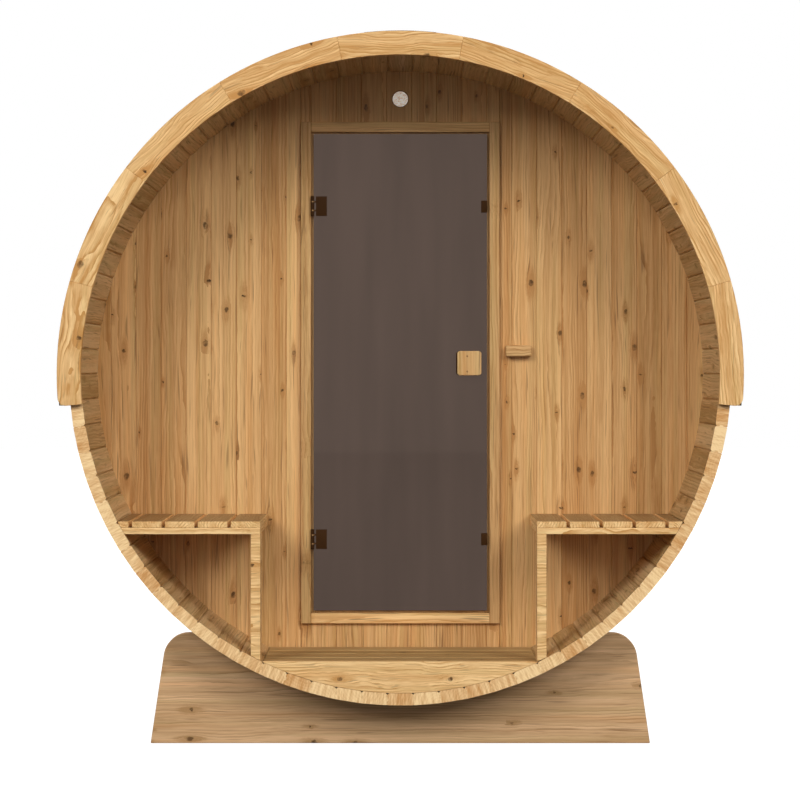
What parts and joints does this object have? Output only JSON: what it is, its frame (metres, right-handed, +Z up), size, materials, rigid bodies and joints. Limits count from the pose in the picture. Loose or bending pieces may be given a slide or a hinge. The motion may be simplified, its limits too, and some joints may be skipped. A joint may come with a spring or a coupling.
{
  "type": "barrel sauna",
  "caption": "Round timber sauna cabin of bead-jointed staves with an open porch, glass door, porch benches, shingled upper half and cradles.",
  "frame": {"origin": "on the ground at the centre of the footprint", "axes": "+Z up, the barrel's axis along Y, the porch and its door facing -Y, +X to the right seen from the porch"},
  "size_m": [2.392, 2.0546, 2.511],
  "materials": {
    "stave_wood": "planed spruce staves, clear finish, tight bead-and-cove joints",
    "fascia_wood": "planed spruce boards, band-sawn arcs, clear finish",
    "wall_wood": "tongued and grooved spruce boards, small dark knots",
    "frame_wood": "planed spruce, square edges",
    "bench_wood": "planed spruce slats, eased edges",
    "floor_wood": "planed spruce boards",
    "cradle_wood": "planed spruce plank, greying slightly",
    "roof_wood": "sawn roof boards and battens",
    "shingles": "mineral-faced bitumen shingles",
    "hoop_steel": "stainless strap, rolled, with bent lugs",
    "hinge_bronze": "dark bronze coating, satin",
    "smoked_glass": "toughened glass, bronze tint, 8 mm",
    "vent_cap": "pale grey moulded plastic, fine grain"
  },
  "bodies": {
    "sauna": {"staves_bottom": "stave_wood", "staves_lower_right": "stave_wood", "staves_right": "stave_wood", "staves_upper_right": "stave_wood", "staves_top": "stave_wood", "staves_upper_left": "stave_wood", "staves_left": "stave_wood", "staves_lower_left": "stave_wood", "fascia_front": "fascia_wood", "fascia_back": "fascia_wood", "eaves_trim_left": "fascia_wood", "eaves_trim_right": "fascia_wood", "floor_front_board": "fascia_wood", "front_wall_left": "wall_wood", "front_wall_right": "wall_wood", "front_wall_over_door": "wall_wood", "front_wall_under_door": "wall_wood", "back_wall": "wall_wood", "door_jamb_left": "frame_wood", "door_jamb_right": "frame_wood", "door_head": "frame_wood", "door_sill": "frame_wood", "door_stops": "frame_wood", "wall_block": "frame_wood", "bench_slats_left": "bench_wood", "bench_slats_right": "bench_wood", "bench_rails_left": "bench_wood", "bench_rails_right": "bench_wood", "bench_posts": "bench_wood", "porch_floor_boards": "floor_wood", "room_floor_boards": "floor_wood", "floor_bearers": "floor_wood", "cradle_front": "cradle_wood", "cradle_back": "cradle_wood", "roof_boards": "roof_wood", "roof_battens": "roof_wood", "roof_shingles": "shingles", "hoops": "hoop_steel", "hinge_leaves": "hinge_bronze", "vent": "vent_cap"},
    "door": {"door_glass": "smoked_glass", "hinge_clamps": "hinge_bronze", "door_catch_plates": "hinge_bronze", "door_handle_plates": "hinge_bronze", "door_handle_outer": "frame_wood", "door_handle_inner": "frame_wood"}
  },
  "joints": [
    {"name": "door_hinge", "type": "hinge", "parent": "sauna", "child": "door", "pos_m": [-0.3228, -0.578, 1.315], "axis": [0, 0, -1], "range_deg": [0, 105]}
  ]
}
